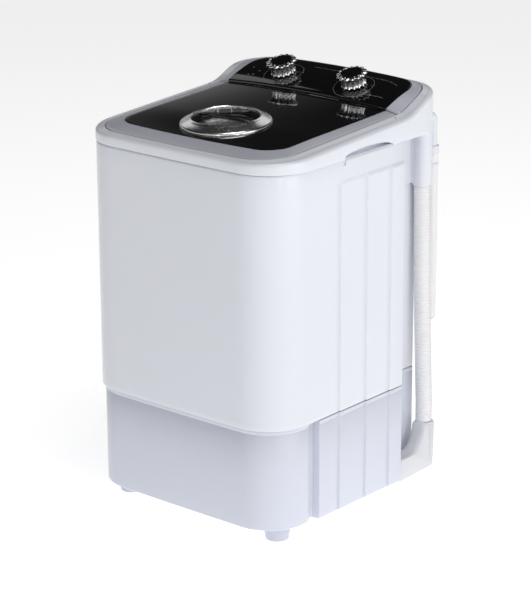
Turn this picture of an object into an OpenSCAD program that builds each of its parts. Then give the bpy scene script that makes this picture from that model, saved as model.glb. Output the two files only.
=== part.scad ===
// Portable single-tub top load washing machine, in millimetres.
// Origin: on the floor below the middle of the cabinet. +Z is up, and the front faces -Y.

/* [Cabinet] */
// Width of the cabinet at its widest side panels
body_w = 360; // [356:1:366]
// Depth of the top cover, front to back
body_d = 384; // [380:1:390]
// Radius of the four upright corners of the top cover
corner_r = 68; // [60:1:72]
// Wall thickness of the moulded shells
wall = 3; // [2.5:0.5:3.5]
// Height at which the base shell ends and the cabinet shell starts
skirt_top = 169; // [164:1:172]
// Height of the seam between the cabinet shell and the top cover
seam_z = 523; // [521:1:525]
// Height of the rubber feet
foot_h = 24; // [20:1:26]

/* [Lid] */
// Distance of the hinge axis behind the middle of the cabinet
hinge_y = 77; // [76:1:78]
// Height of the hinge axis
hinge_z = 553; // [552:1:554]
// Slope of the closed lid, falling to the front
lid_tilt = 3.3; // [3:0.1:3.5]
// Diameter of a lid hinge pin
hinge_pin_d = 5; // [4:0.5:5]
// Outer diameter of the ring round the lid's finger cup
ring_d = 127; // [120:1:130]

/* [Controls] */
// Distance of each knob from the middle
knob_x = 63.5; // [60:0.5:66]
// Diameter over the lobes of a knob
knob_d = 44.6; // [40:0.1:46]
// Height of a knob above the fascia
knob_h = 20; // [18:0.5:22]
// Slope of the fascia at the knobs
knob_tilt = 17.4; // [16:0.1:19]

/* [Wash tub and drive] */
// Outer radius of the wash tub
tub_r = 142; // [138:1:143]
// Radius of the loading mouth in the top cover
mouth_r = 112; // [106:1:113]
// Diameter of the pulsator
pulsator_d = 170; // [150:1:174]
// Diameter of the drive shaft
shaft_d = 12; // [10:1:12]
// Diameter at the belt of the large pulley
big_pulley_d = 150; // [140:1:152]
// Diameter at the belt of the motor pulley
small_pulley_d = 30; // [28:1:34]

/* [Hoses] */
// Outer diameter of the drain hose
drain_hose_d = 24; // [22:0.5:24]
// Outer diameter of the fill hose
fill_hose_d = 18; // [16:0.5:19]

/* [Hidden] */
$fn = 96;

white = [0.90, 0.92, 0.95];
base_white = [0.84, 0.85, 0.93];
trim_grey = [0.66, 0.67, 0.74];
gloss_black = [0.03, 0.03, 0.035];
chrome = [0.80, 0.81, 0.83];
steel = [0.62, 0.63, 0.65];
foot_white = [0.88, 0.89, 0.93];
rubber_black = [0.09, 0.09, 0.09];
tub_white = [0.86, 0.89, 0.93];
motor_grey = [0.42, 0.43, 0.45];
hose_white = [0.91, 0.91, 0.90];

e = 0.01;              // overshoot of a cut
run = 0.05;            // radial running clearance of a shaft in its bore
gap = 1;               // open joint between two neighbouring covers

// Feet
foot_r = 18.3;
foot_x = 135.8;
foot_front = -138.7;
foot_rear_x = 118;
foot_rear_y = 132;

// Cabinet outline
front_y = -body_d / 2;
rear_y = body_d / 2;
panel_rear_y = 85;     // where the side panels end
back_x = 142;          // half width of the cabinet behind the side panels
back_y = 163;          // outer face of the rear wall
rib_y = [-54, 3, 55.5];  // where a side panel steps outwards
rib_step = 1.2;
front_x = body_w / 2 - len(rib_y) * rib_step;
rib_top = 496;
floor_t = 3;
floor_z = foot_h;
body_front_y = front_y + 2;
skirt_inset = 4.5;

// Grip pockets in the top cover's sides
grip_front = -48;
grip_rear = 56;
grip_depth = 15;
grip_wall = 1.6;       // wall behind a grip pocket
grip_floor = 2;
grip_top = 10.5;
grip_outline = [
  [grip_front, seam_z + grip_floor], [grip_front, seam_z + 4], [-45, seam_z + 6.5],
  [-36, seam_z + 8], [-18, seam_z + 9.7], [3, seam_z + grip_top], [26, seam_z + 9.2],
  [44, seam_z + 6.6], [grip_rear, seam_z + grip_floor]
];

// Top cover levels, measured square to the lid from the hinge axis
rim_top = 3.5;
lid_top = 10;
lid_bottom = 0;
deck_top = -1.5;
deck_t = 2.5;
barrel_r = 5;          // radius of the lid's two hinge barrels
barrel_w = 20;         // length of a hinge barrel
bearer_w = 12;         // width of the block that holds a hinge pin
rim_w = 18;            // width of the white rim beside the lid and the fascia
rim_h = 9;
lid_gap = 1;
lid_x = body_w / 2 - rim_w - lid_gap;
lid_corner = corner_r - rim_w - 1;
lid_front = -256;      // front edge of the lid, measured from the hinge axis
lid_back = 9;          // rear edge of the lid, inside its turning circle
trough_r = lid_top + 0.8;
mouth_y = -48;

// Lid
black_x = 143;
black_front = -228;
ring_y = -158;         // middle of the ring, measured from the hinge axis
ring_r = ring_d / 2;
cup_r = 46.5;
cup_depth = 17;

// Control panel, an arc about an axis parallel to X
arc_y = 193;
arc_z = 340.2;
fascia_arc = 250;
frame_arc = 246;
rim_arc = 243;
deck_arc = 240;
panel_front_y = 89;
panel_rear = 178;
black_rear = 168;
knob_y = 118.2;
knob_z = arc_z + sqrt(pow(fascia_arc, 2) - pow(arc_y - knob_y, 2));
knob_gap = 0.6;
knob_cap_r = 15.8;
control_shaft_d = 6;

// Wash tub
tub_y = -42;
tub_floor = 182;
tub_rim = 517;
tub_t = 3;
tub_chamfer = 32;
sump_x = 76;
sump_y = -100;
sump_r = 11;

// Drive
pulsator_z = tub_floor + tub_t + 2.5;
shaft_r = shaft_d / 2;
pulley_z = 90;
pulley_h = 14;
big_r = big_pulley_d / 2;
small_r = small_pulley_d / 2;
groove = 4;            // depth of a pulley's groove beyond the belt line
motor_x = 70;
motor_y = 60;
motor_r = 40;
motor_z0 = 110;
motor_z1 = 170;
motor_shaft_r = 5;
belt_d = norm([motor_x, motor_y - tub_y]);
belt_turn = atan2(motor_y - tub_y, motor_x);
belt_angle = acos((big_r - small_r) / belt_d);
belt_gap = 0.4;
belt_t = 4;
belt_h = 3.2;

// Drain
outlet_x = 163;
outlet_z = 39;
pipe_bend_y = -60;     // where the drain pipe turns to the side
pipe_turn_r = 16;
pipe_r = 9;
pipe_bore = 7;
holder_x = 155;
holder_y = 157;
holder_z0 = 443;
holder_r = 13.4;
elbow_w = 23;
elbow_y = 160;         // middle of the elbow's upright leg
elbow_top = 92;
elbow_outline = [
  [88.3, 18], [172, 18], [172, elbow_top], [148, elbow_top], [146, 82], [141, 70], [133, 60],
  [122, 54], [108, 52], [88.3, 52]
];
drain_route = [
  [outlet_x, elbow_y, elbow_top + 0.1], [outlet_x, elbow_y, 120], [162.5, 159.5, 140], [160.5, 159, 200],
  [158.5, 158.5, 260], [157, 158, 330], [156, 157.5, 400], [155, 157, 450], [155, 157, 505]
];

// Fill hose
inlet_x = 141;
inlet_y = 199;
inlet_z = 533;
fill_top = 489;
spout_x = 20;
spout_y = 172;
spout_end = 61;
spout_r = 6;
spout_bore = 4;
fill_route = [
  [141, 199, 477], [141, 199, 440], [141, 199.5, 390], [141, 200, 340], [141, 199.5, 290],
  [141, 199, 228]
];

// ---- shared shapes ----

// A rectangle from (x0, y0) to (x1, y1) with separate radii at its front and rear corners.
module round_rect(x0, y0, x1, y1, rf, rr) {
  union() {
    translate([x0 + rf, y0]) square([x1 - x0 - 2 * rf, rf + e]);
    translate([x0, y0 + rf]) square([x1 - x0, y1 - y0 - rf - rr]);
    translate([x0 + rr, y1 - rr - e]) square([x1 - x0 - 2 * rr, rr + e]);
    for (sx = [0, 1]) {
      translate([sx ? x1 - rf : x0 + rf, y0 + rf]) circle(r = rf);
      translate([sx ? x1 - rr : x0 + rr, y1 - rr]) circle(r = rr);
    }
  }
}

// Plan of the top cover, t inside its outer face.
module cover_plan(t) {
  round_rect(-body_w / 2 + t, front_y + t, body_w / 2 - t, rear_y - t, corner_r - t, corner_r - t);
}

// Plan of the narrow part of the cabinet behind the side panels.
module back_plan(t) {
  round_rect(-back_x + t, 0, back_x - t, back_y - t, 10, 14 - t);
}

// Plan of the stepped side panels, from y0 to the panels' rear edge.
module side_plan(t, y0) {
  for (i = [0:len(rib_y)]) {
    x = front_x + i * rib_step - t;
    y = i == 0 ? y0 : rib_y[i - 1] + t;
    translate([-x, y]) square([2 * x, panel_rear_y - t - y]);
  }
}

// Plan of the cabinet shell, t inside its outer face.
module cabinet_plan(t) {
  union() {
    round_rect(-front_x + t, body_front_y + t, front_x - t, panel_rear_y - t, corner_r - 4 - t, 1);
    side_plan(t, 0);
    back_plan(t);
  }
}

// The same below the rib tops' level: above it the panels are flush with the front part.
module cabinet_top_plan(t) {
  union() {
    round_rect(-front_x + t, body_front_y + t, front_x - t, panel_rear_y - t, corner_r - 4 - t, 1);
    back_plan(t);
  }
}

// Plan of the base shell: its front stands back, and a groove divides it from the side panels.
module base_plan(t) {
  x = front_x - skirt_inset - t;
  y = body_front_y + skirt_inset + t;
  union() {
    difference() {
      round_rect(-x, y, x, -90, corner_r - 8 - t, 1);
      for (s = [-1, 1])
        polygon([[s * x, -116], [s * (x - 6), -105], [s * (x - 6), -89], [s * 200, -89],
                 [s * 200, -116]]);
    }
    translate([-x + 6, -110]) square([2 * x - 12, 60]);
    side_plan(t, -97 + t);
    back_plan(t);
  }
}

// Everything below the lid's plane, raised by h square to the plane.
module below_lid_plane(h, y_end) {
  intersection() {
    translate([0, hinge_y, hinge_z]) rotate([lid_tilt, 0, 0])
      translate([-300, -400, h - 200]) cube([600, 600, 200]);
    translate([-300, -400, 310]) cube([600, 400 + y_end, 400]);
  }
}

// Everything below the control panel's arc of radius r.
module below_arc(r, y_start) {
  intersection() {
    translate([-300, arc_y, arc_z]) rotate([0, 90, 0]) cylinder(r = r, h = 600, $fn = 360);
    translate([-300, y_start, 400]) cube([600, 300, 300]);
  }
}

// Everything below the top cover's surface, lowered by h.
module below_cover(h) {
  union() {
    below_lid_plane(rim_top - h, panel_front_y - 1);
    below_arc(rim_arc - h, panel_front_y - 1 - e);
  }
}

// Moves a shape from the hinge axis to its place on the sloping lid.
module on_lid() {
  translate([0, hinge_y, hinge_z]) rotate([lid_tilt, 0, 0]) children();
}

// Moves a shape from the fascia's surface to a knob's place; side is -1 or 1.
module on_fascia(side) {
  translate([side * knob_x, knob_y, knob_z]) rotate([knob_tilt, 0, 0]) children();
}

module at_shaft() {
  translate([0, tub_y, 0]) children();
}

module at_motor() {
  translate([motor_x, motor_y, 0]) children();
}

module tube(r_out, r_in, z0, z1) {
  translate([0, 0, z0]) difference() {
    cylinder(r = r_out, h = z1 - z0);
    translate([0, 0, -e]) cylinder(r = r_in, h = z1 - z0 + 2 * e);
  }
}

// A pan-head screw along +Z, its head's underside at the origin.
module screw(r, length, head_r, head_h) {
  difference() {
    union() {
      translate([0, 0, -length]) cylinder(r = r, h = length + e, $fn = 24);
      cylinder(r = head_r, h = head_h, $fn = 32);
    }
    for (a = [0, 90]) rotate([0, 0, a])
      translate([-head_r * 0.55, -0.4, head_h * 0.45]) cube([head_r * 1.1, 0.8, head_h]);
  }
}

// A tube swept along a route, with sides faces round it.
function unit(v) = v / norm(v);
function heading(route, i) =
  unit(route[min(i + 1, len(route) - 1)] - route[max(i - 1, 0)]);
function ring_points(route, i, r, sides) = let (
    t = heading(route, i),
    u = unit(cross([1, 0, 0], t)),
    v = cross(t, u)
  ) [for (k = [0:sides - 1])
    route[i] + r * (cos(k * 360 / sides) * u + sin(k * 360 / sides) * v)];
module swept(route, r, sides = 12) {
  n = len(route);
  points = [for (i = [0:n - 1]) each ring_points(route, i, r, sides)];
  walls = [for (i = [0:n - 2]) for (k = [0:sides - 1]) let (k2 = (k + 1) % sides)
    [i * sides + k, (i + 1) * sides + k, (i + 1) * sides + k2, i * sides + k2]];
  start = [for (k = [0:sides - 1]) k];
  finish = [for (k = [sides - 1:-1:0]) (n - 1) * sides + k];
  polyhedron(points = points, faces = concat(walls, [start, finish]), convexity = 4);
}

// ---- cabinet ----

module base_shell() {
  color(base_white) difference() {
    union() {
      difference() {
        translate([0, 0, floor_z]) linear_extrude(skirt_top - floor_z) base_plan(0);
        translate([0, 0, floor_z + floor_t]) linear_extrude(skirt_top) base_plan(wall);
      }
      at_feet() translate([0, 0, floor_z]) cylinder(r = 9, h = 18);
    }
    // slots that let the motor's air out
    for (i = [-3:3]) translate([i * 16 - 3 + motor_x - 30, -20, floor_z - 1]) cube([6, 70, floor_t + 2]);
    // opening behind the rear cover
    translate([-78, back_y - wall - 1, 52]) cube([156, wall + 2, 90]);
    for (x = [-1, 1]) for (z = [46, 148])
      translate([x * 84, back_y + 1, z]) rotate([90, 0, 0]) cylinder(r = 1.6, h = wall + 2, $fn = 24);
    // hole for the drain outlet
    translate([outlet_x, panel_rear_y + 1, outlet_z]) rotate([90, 0, 0])
      cylinder(r = pipe_r + 0.2, h = wall + 2);
    // sockets for the feet
    at_feet() translate([0, 0, floor_z - 1]) cylinder(r = 5, h = 16);
  }
}

function foot_at(side, end) =
  end > 0 ? [side * foot_rear_x, foot_rear_y, 0] : [side * foot_x, foot_front, 0];

module at_feet() {
  for (side = [-1, 1]) for (end = [-1, 1]) translate(foot_at(side, end)) children();
}

module foot(side, end) {
  color(foot_white) translate(foot_at(side, end)) union() {
    cylinder(r = foot_r, h = foot_h);
    cylinder(r = 4.9, h = foot_h + 12);
  }
}

module foot_front_left() { foot(-1, -1); }
module foot_front_right() { foot(1, -1); }
module foot_rear_left() { foot(-1, 1); }
module foot_rear_right() { foot(1, 1); }

module cabinet_shell() {
  z0 = skirt_top + gap;
  color(white) difference() {
    union() {
      translate([0, 0, z0]) linear_extrude(rib_top - z0) cabinet_plan(0);
      translate([0, 0, rib_top - e]) linear_extrude(seam_z - 0.5 - rib_top + e) cabinet_top_plan(0);
    }
    translate([0, 0, z0 - 1]) linear_extrude(seam_z) cabinet_top_plan(wall);
    // notch at the front end of each grip
    for (s = [-1, 1]) translate([s * front_x - 4, grip_front, seam_z - 8]) cube([8, 5, 20]);
    // hole for the cord gland
    translate([-110, back_y + 1, 482]) rotate([90, 0, 0]) cylinder(r = 7, h = wall + 2);
  }
}

module grip_cut(side) {
  x0 = body_w / 2 - grip_depth;
  translate([side > 0 ? x0 : -x0 - 40, 0, 0])
    rotate([90, 0, 90]) linear_extrude(40) polygon(grip_outline);
}

module grip_pocket(side) {
  x0 = body_w / 2 - grip_depth - grip_wall;
  block_w = grip_depth + grip_wall - 1;
  translate([side > 0 ? x0 : -x0 - block_w, grip_front - 2, seam_z])
    cube([block_w, grip_rear - grip_front + 4, grip_top + grip_wall]);
}

// Plan of the well that holds the lid and the fascia, grown by t.
module well_plan(t) {
  x = lid_x + lid_gap + t;
  round_rect(-x, hinge_y + lid_front - lid_gap - t, x, panel_rear + lid_gap + t, lid_corner + 1 + t,
             lid_corner + 1 + t);
}

// A block on the lid's slope that spans the well's width beside the hinge axis.
module hinge_block(y, z0, z1, x) {
  on_lid() translate([-x, -y, z0]) cube([2 * x, 2 * y, z1 - z0]);
}

module top_cover() {
  color(white) difference() {
    union() {
      // side wall
      intersection() {
        below_cover(0);
        difference() {
          translate([0, 0, seam_z]) linear_extrude(90) cover_plan(0);
          translate([0, 0, seam_z - 1]) linear_extrude(92) cover_plan(wall);
        }
      }
      // rim
      intersection() {
        difference() {
          below_cover(0);
          below_cover(rim_h);
        }
        difference() {
          translate([0, 0, seam_z]) linear_extrude(90) cover_plan(0);
          translate([0, 0, seam_z - 1]) linear_extrude(92) well_plan(0);
        }
      }
      // deck under the lid
      intersection() {
        difference() {
          below_lid_plane(deck_top, panel_front_y - 1);
          below_lid_plane(deck_top - deck_t, panel_front_y);
        }
        translate([0, 0, seam_z]) linear_extrude(90) well_plan(2);
      }
      // deck under the fascia
      intersection() {
        difference() {
          below_arc(deck_arc, panel_front_y - 1);
          below_arc(deck_arc - deck_t, panel_front_y - 2);
        }
        translate([0, 0, seam_z]) linear_extrude(90) well_plan(2);
      }
      // trough in which the lid's rear edge turns
      intersection() {
        hinge_block(trough_r + deck_t, -trough_r - deck_t, deck_top, lid_x + bearer_w);
        below_cover(0);
      }
      intersection() {
        translate([-lid_x - bearer_w, hinge_y + trough_r, hinge_z - trough_r])
          cube([2 * (lid_x + bearer_w), deck_t, 2 * trough_r]);
        below_arc(deck_arc, 0);
      }
      // bearers for the hinge pins
      for (s = [-1, 1]) intersection() {
        translate([s > 0 ? lid_x + 2 : -lid_x - 2 - bearer_w, hinge_y - 12.5, hinge_z - 12])
          cube([bearer_w, 25, 20]);
        below_cover(0);
      }
      // neck of the loading mouth
      translate([0, mouth_y, 0]) intersection() {
        tube(mouth_r + wall, mouth_r - 1, tub_rim + 2, 570);
        translate([0, -mouth_y, 0]) below_lid_plane(deck_top - 0.5, 200);
      }
      // bottom plate outside the cabinet
      difference() {
        translate([0, 0, seam_z]) linear_extrude(wall) cover_plan(1);
        translate([0, 0, seam_z - 1]) linear_extrude(wall + 2) cabinet_top_plan(wall + 11);
      }
      for (s = [-1, 1]) grip_pocket(s);
    }
    hinge_block(trough_r, -trough_r, 30, lid_x + lid_gap + 0.4);
    translate([0, mouth_y, 400]) cylinder(r = mouth_r, h = 200);
    for (s = [-1, 1]) grip_cut(s);
    // bores of the lid's hinge pins
    for (s = [-1, 1]) translate([s > 0 ? lid_x - 1 : -lid_x - 9, hinge_y, hinge_z])
      rotate([0, 90, 0]) cylinder(r = hinge_pin_d / 2 + run, h = 10);
    // holes for the control shafts
    for (s = [-1, 1]) on_fascia(s) translate([0, 0, -20]) cylinder(r = 6, h = 30);
    // holes for the cover's screws
    at_cover_screws() translate([0, 0, seam_z - 1]) cylinder(r = 1.8, h = wall + 2, $fn = 24);
    // holes for the inlet
    translate([inlet_x, rear_y - 30, inlet_z]) rotate([-90, 0, 0]) cylinder(r = 7.6, h = 40);
    translate([spout_x, mouth_y + 20, inlet_z]) rotate([-90, 0, 0]) cylinder(r = spout_r + 0.2, h = 110);
  }
}

module at_cover_screws() {
  for (s = [-1, 1]) for (y = [108, 146]) translate([s * 133.5, y, 0]) children();
}

module top_cover_screws() {
  color(steel) at_cover_screws() translate([0, 0, seam_z - 0.1]) rotate([180, 0, 0])
    screw(1.6, 8, 3.6, 2.2);
}

module rear_cover() {
  color(white) translate([0, back_y, 0]) difference() {
    union() {
      translate([-92, 0.1, 38]) cube([184, 2.5, 118]);
      translate([-76, -wall - 0.4, 54]) cube([152, wall + 0.5, 86]);
    }
    for (i = [0:5]) translate([-50, -5, 64 + i * 11]) cube([100, 12, 4]);
    for (x = [-1, 1]) for (z = [46, 148])
      translate([x * 84, 4, z]) rotate([90, 0, 0]) cylinder(r = 1.8, h = 5, $fn = 24);
  }
}

module rear_cover_screws() {
  color(steel) for (x = [-1, 1]) for (z = [46, 148])
    translate([x * 84, back_y + 2.6, z]) rotate([-90, 0, 0]) screw(1.5, 9, 3.4, 2);
}

// ---- lid ----

module lid_plan(x, y0, y1, rf) {
  round_rect(-x, y0, x, y1, rf, 0.5);
}

// Keeps what stays inside the circle in which the lid's rear edge turns.
module inside_turn() {
  intersection() {
    children();
    union() {
      translate([-200, -400, -50]) cube([400, 400, 100]);
      translate([-200, 0, 0]) rotate([0, 90, 0]) cylinder(r = lid_top, h = 400);
    }
  }
}

module lid_frame() {
  color(trim_grey) on_lid() difference() {
    union() {
      inside_turn() hull() {
        translate([0, 0, lid_bottom]) linear_extrude(rim_top - lid_bottom)
          lid_plan(lid_x, lid_front, lid_back, lid_corner, $fn = 64);
        translate([0, 0, lid_top - 1.5]) linear_extrude(0.5)
          lid_plan(black_x + 1, black_front - 1, lid_back, 34, $fn = 64);
      }
      for (s = [-1, 1]) translate([s > 0 ? lid_x - barrel_w : -lid_x, 0, 0])
        rotate([0, 90, 0]) cylinder(r = barrel_r, h = barrel_w);
    }
    // seat of the black panel
    translate([0, 0, lid_top - 3]) linear_extrude(10)
      lid_plan(black_x, black_front, 20, 33);
    // hollow underside
    translate([0, 0, lid_bottom - 5]) linear_extrude(5 + 4)
      lid_plan(lid_x - 4, lid_front + 4, -9, lid_corner - 4);
    // seat of the finger cup
    translate([0, ring_y, -20]) cylinder(r = cup_r + 2.1, h = 40);
    for (s = [-1, 1]) translate([s > 0 ? lid_x - 12 : -lid_x - 1, 0, 0])
      rotate([0, 90, 0]) cylinder(r = hinge_pin_d / 2 + 0.02, h = 13);
  }
}

module lid_panel() {
  color(gloss_black) on_lid() difference() {
    inside_turn() translate([0, 0, lid_top - 3]) linear_extrude(3)
      lid_plan(black_x - 0.1, black_front + 0.1, lid_back, 32.9);
    translate([0, ring_y, -20]) cylinder(r = cup_r + 2.1, h = 40);
  }
}

module lid_ring() {
  color(chrome) on_lid() translate([0, ring_y, lid_top]) rotate_extrude()
    polygon([[cup_r + 0.2, 0.05], [ring_r, 0.05], [ring_r - 1, 2], [ring_r - 4.5, 8],
             [ring_r - 6, 9], [cup_r + 2.5, 8], [cup_r + 0.2, 5]]);
}

module lid_finger_cup() {
  cup_floor = lid_top - cup_depth;
  color(gloss_black) on_lid() translate([0, ring_y, 0]) union() {
    difference() {
      translate([0, 0, cup_floor]) cylinder(r = cup_r + 2, h = cup_depth);
      translate([0, 0, cup_floor + 2]) cylinder(r = cup_r, h = cup_depth);
    }
    // grip plate across the rear of the cup
    intersection() {
      translate([0, 0, lid_top - 4]) cylinder(r = cup_r + 1, h = 3.9);
      translate([-60, 14, lid_top - 4]) cube([120, 60, 3.9]);
    }
  }
}

module hinge_pin(side) {
  x0 = side > 0 ? lid_x - 11.5 : -lid_x - 8;
  color(steel) on_lid() translate([x0, 0, 0])
    rotate([0, 90, 0]) cylinder(r = hinge_pin_d / 2, h = 19.5);
}

module hinge_pin_left() { hinge_pin(-1); }
module hinge_pin_right() { hinge_pin(1); }

// ---- control panel ----

module panel_frame() {
  color(trim_grey) intersection() {
    difference() {
      below_arc(frame_arc, panel_front_y);
      below_arc(deck_arc + 0.2, panel_front_y - 5);
    }
    difference() {
      translate([0, 0, 542]) linear_extrude(60)
        round_rect(-lid_x, panel_front_y, lid_x, panel_rear, 0.5, lid_corner);
      translate([0, 0, 532]) linear_extrude(80)
        round_rect(-black_x, 40, black_x, black_rear, 0.5, 32);
    }
  }
}

module panel_fascia() {
  color(gloss_black) difference() {
    intersection() {
      difference() {
        below_arc(fascia_arc, panel_front_y);
        below_arc(deck_arc + 0.2, panel_front_y - 5);
      }
      translate([0, 0, 542]) linear_extrude(60)
        round_rect(-black_x + 0.1, panel_front_y, black_x - 0.1, black_rear - 0.1, 0.5, 31.9);
    }
    for (s = [-1, 1]) on_fascia(s) translate([0, 0, -20]) cylinder(r = 5.3, h = 30);
  }
}

module control_knob(side) {
  lobes = 12;
  color(chrome) on_fascia(side) difference() {
    rotate_extrude() polygon([
      [0, knob_gap], [17.5, knob_gap], [17.5, 1.8], [16, 3.2], [15.2, 8], [16.5, 11],
      [knob_d / 2 - 1, 14], [knob_d / 2, 15.5], [knob_d / 2, 17], [knob_d / 2 - 1.6, 18.6],
      [knob_cap_r + 0.2, 18.6], [knob_cap_r, knob_h - 2.5], [0, knob_h - 2.5]
    ]);
    for (k = [0:lobes - 1]) rotate([0, 0, k * 360 / lobes])
      translate([knob_d / 2 + 1.2, 0, 9.5]) cylinder(r = 3, h = 12, $fn = 32);
    translate([0, 0, -1]) cylinder(r = control_shaft_d / 2 + 0.02, h = 15);
  }
}

module knob_cap(side) {
  color(gloss_black) on_fascia(side) translate([0, 0, knob_h - 2.45]) union() {
    cylinder(r = knob_cap_r - 0.1, h = 2.2);
    translate([0, 0, 2.1]) cylinder(r = knob_cap_r - 2, h = 0.35);
  }
}

module control_shaft(side) {
  color(steel) on_fascia(side) translate([0, 0, -30]) difference() {
    cylinder(r = control_shaft_d / 2, h = 43.5);
    translate([control_shaft_d / 2 - 0.8, -4, 33]) cube([3, 8, 12]);
  }
}

module timer_knob() { control_knob(-1); }
module timer_knob_cap() { knob_cap(-1); }
module timer_shaft() { control_shaft(-1); }
module selector_knob() { control_knob(1); }
module selector_knob_cap() { knob_cap(1); }
module selector_shaft() { control_shaft(1); }

// Body of a panel-mounted control: a case, a mounting plate and a bush round the shaft.
module control_case(side, w, d, h) {
  on_fascia(side) difference() {
    union() {
      translate([-w / 2, -d / 2, -15 - h]) cube([w, d, h]);
      translate([-w / 2 - 5, -10, -15]) cube([w + 10, 20, 1.5]);
      translate([0, 0, -14]) cylinder(r = 5.2, h = 12);
    }
    translate([0, 0, -31]) cylinder(r = control_shaft_d / 2 + run, h = 40);
    for (s = [-1, 1]) translate([s * (w / 2 + 2.5), 0, -17]) cylinder(r = 1.6, h = 6, $fn = 24);
  }
}

module wash_timer() {
  color([0.85, 0.85, 0.82]) union() {
    control_case(-1, 52, 44, 24);
    for (i = [-1:1]) on_fascia(-1) translate([i * 12 - 3, -12, -45]) cube([6, 0.8, 8]);
  }
}

module mode_switch() {
  color([0.20, 0.20, 0.22]) union() {
    control_case(1, 36, 36, 20);
    for (i = [-1:1]) on_fascia(1) translate([i * 10 - 3, -8, -41]) cube([6, 0.8, 8]);
  }
}

// ---- wash tub and drive ----

module wash_tub() {
  inner = tub_r - tub_t;
  color(tub_white) at_shaft() difference() {
    rotate_extrude($fn = 180) polygon([
      [14, tub_floor], [tub_r - tub_chamfer, tub_floor], [tub_r - 9, tub_floor + 11],
      [tub_r, tub_floor + tub_chamfer], [tub_r, tub_rim - 3], [tub_r + 2, tub_rim - 3],
      [tub_r + 2, tub_rim], [inner, tub_rim], [inner, tub_floor + tub_chamfer + 1],
      [inner - 8.5, tub_floor + 13], [tub_r - tub_chamfer - 1, tub_floor + tub_t],
      [14, tub_floor + tub_t]
    ]);
    translate([sump_x, sump_y - tub_y, tub_floor - 1]) cylinder(r = sump_r - 1, h = tub_t + 2);
  }
}

module pulsator() {
  r = pulsator_d / 2;
  color([0.72, 0.78, 0.88]) at_shaft() translate([0, 0, pulsator_z]) difference() {
    union() {
      rotate_extrude() polygon([
        [0, 0], [r - 2, 0], [r, 1.5], [r, 4], [r - 4, 6], [40, 10], [18, 17], [10, 19], [0, 19]
      ]);
      for (k = [0:2]) rotate([0, 0, k * 120]) intersection() {
        translate([8, -5, 1]) cube([r - 14, 10, 18]);
        translate([0, 0, -60]) sphere(r = 80);
      }
    }
    translate([0, 0, -1]) cylinder(r = shaft_r + 0.02, h = 13);
    translate([0, 0, 11]) cylinder(r = 2.6, h = 12, $fn = 32);
    for (k = [0:2]) for (j = [0:3]) rotate([0, 0, k * 120 + 60])
      translate([30 + j * 12, 0, -1]) cylinder(r = 2.2, h = 20, $fn = 24);
  }
}

module pulsator_screw() {
  color(steel) at_shaft() translate([0, 0, pulsator_z + 19.05]) screw(2.5, 13, 5, 3);
}

module drive_shaft() {
  z0 = pulley_z - 14;
  z1 = pulsator_z + 11.5;
  color(steel) at_shaft() difference() {
    translate([0, 0, z0]) cylinder(r = shaft_r, h = z1 - z0);
    translate([0, 0, z1 - 9]) cylinder(r = 2.55, h = 10, $fn = 32);
  }
}

module shaft_seal() {
  color(rubber_black) at_shaft() union() {
    tube(13.9, shaft_r + run, tub_floor - 4, tub_floor + 1.5);
    tube(9, shaft_r + run, tub_floor + 1, tub_floor + 3);
  }
}

module upper_bearing() {
  color(steel) at_shaft() tube(14, shaft_r + run, 166, 174);
}

module lower_bearing() {
  color(steel) at_shaft() tube(14, shaft_r + run, 118, 126);
}

module bearing_housing() {
  color([0.70, 0.71, 0.73]) at_shaft() difference() {
    union() {
      translate([0, 0, 116]) cylinder(r = 19, h = 60);
      translate([0, 0, tub_floor - 6]) cylinder(r = 46, h = 5.9);
      for (k = [0:5]) rotate([0, 0, k * 60]) translate([10, -1.5, 142]) cube([30, 3, 36]);
    }
    translate([0, 0, 100]) cylinder(r = shaft_r + 3, h = 80);
    translate([0, 0, 118]) cylinder(r = 14, h = 8);
    translate([0, 0, 166]) cylinder(r = 14, h = 8);
    translate([0, 0, tub_floor - 4.1]) cylinder(r = 14, h = 8);
  }
}

// Grooved pulley from z = 0 to h, with its belt line at radius r.
module pulley(r, h, bore) {
  rotate_extrude() polygon([
    [bore, 0], [r + groove, 0], [r + groove, 2], [r - 1, 5], [r - 1, h - 5],
    [r + groove, h - 2], [r + groove, h], [bore, h]
  ]);
}

module drive_pulley() {
  color([0.30, 0.31, 0.33]) at_shaft() translate([0, 0, pulley_z]) difference() {
    pulley(big_r, pulley_h, shaft_r + 0.02);
    translate([0, 0, 5]) tube(big_r - 7, 16, 0, 20);
    for (k = [0:5]) rotate([0, 0, k * 60]) translate([42, 0, -1]) cylinder(r = 13, h = 20);
  }
}

module pulley_nut() {
  color(steel) at_shaft() translate([0, 0, pulley_z - 8.1]) difference() {
    cylinder(r = 10, h = 8, $fn = 6);
    translate([0, 0, -1]) cylinder(r = shaft_r + 0.02, h = 10);
  }
}

// A stretch of belt round a pulley of radius r, sweep degrees to each side of +X.
module belt_wrap(r, sweep) {
  rotate([0, 0, -sweep]) rotate_extrude(angle = 2 * sweep)
    translate([r + belt_gap - 1, 0]) square([belt_t, belt_h]);
}

module drive_belt() {
  run_l = belt_d * sin(belt_angle);
  color(rubber_black) at_shaft() translate([0, 0, pulley_z + (pulley_h - belt_h) / 2])
    rotate([0, 0, belt_turn]) union() {
      rotate([0, 0, 180]) belt_wrap(big_r, 180 - belt_angle + 1);
      translate([belt_d, 0, 0]) belt_wrap(small_r, belt_angle + 2);
      for (s = [-1, 1]) mirror([0, s < 0 ? 1 : 0, 0])
        rotate([0, 0, belt_angle]) translate([big_r + belt_gap - 1 + 0.03, -run_l, 0])
          cube([belt_t - 0.06, run_l, belt_h]);
    }
}

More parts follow.
